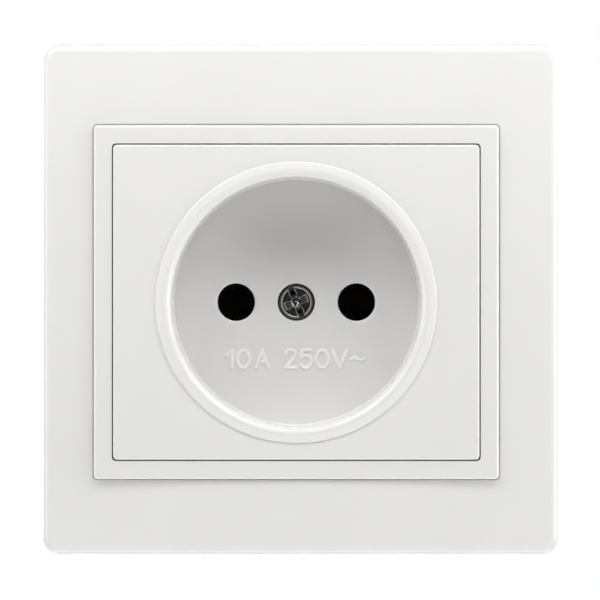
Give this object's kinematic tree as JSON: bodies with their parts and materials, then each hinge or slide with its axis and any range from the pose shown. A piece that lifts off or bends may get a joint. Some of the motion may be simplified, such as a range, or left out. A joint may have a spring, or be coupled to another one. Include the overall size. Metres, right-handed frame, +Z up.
{
  "type": "flush wall socket",
  "caption": "Flush wall socket with a square frame and a round well for a plug with two round pins, spreading claws behind.",
  "frame": {"origin": "the socket's axis where it meets the wall's face", "axes": "+X to the right as seen from the room, +Y into the wall, +Z up"},
  "size_m": [0.0802, 0.035, 0.0795],
  "materials": {
    "white_plastic": "glossy moulded",
    "black_plastic": "satin moulded",
    "zinc_steel": "zinc plated",
    "spring_steel": "polished strip",
    "nickel": "nickel plated",
    "brass": "stamped strip"
  },
  "bodies": {
    "socket": {"outer_frame": "white_plastic", "inner_frame": "white_plastic", "front_cover": "white_plastic", "cover_screw": "nickel", "mounting_plate": "zinc_steel", "base_rivets": "zinc_steel", "base_body": "black_plastic", "contact_cover": "black_plastic", "contact_cover_screws": "zinc_steel", "centre_insert": "brass", "contact_left": "brass", "contact_right": "brass", "contact_clip_left": "spring_steel", "contact_clip_right": "spring_steel", "terminal_clamp_left": "zinc_steel", "terminal_clamp_right": "zinc_steel", "terminal_screw_left": "zinc_steel", "terminal_screw_right": "zinc_steel", "claw_screw_left": "zinc_steel", "claw_screw_right": "zinc_steel"},
    "left_claw": {"claw_left": "zinc_steel"},
    "right_claw": {"claw_right": "zinc_steel"},
    "left_nut": {"claw_nut_left": "zinc_steel"},
    "right_nut": {"claw_nut_right": "zinc_steel"}
  },
  "joints": [
    {"name": "left_claw_slide", "type": "slide", "parent": "socket", "child": "left_claw", "axis": [-0.3907, -0.9205, 0], "range_m": [0, 0.0075]},
    {"name": "right_claw_slide", "type": "slide", "parent": "socket", "child": "right_claw", "axis": [0.3907, -0.9205, 0], "range_m": [0, 0.0075]},
    {"name": "left_nut_slide", "type": "slide", "parent": "socket", "child": "left_nut", "axis": [0, -1, 0], "range_m": [0, 0.00691]},
    {"name": "right_nut_slide", "type": "slide", "parent": "socket", "child": "right_nut", "axis": [0, -1, 0], "range_m": [0, 0.00691]}
  ],
  "couplings": [
    {"joint": "left_nut_slide", "follows": "left_claw_slide", "ratio": 0.92051},
    {"joint": "right_nut_slide", "follows": "right_claw_slide", "ratio": 0.92051}
  ]
}
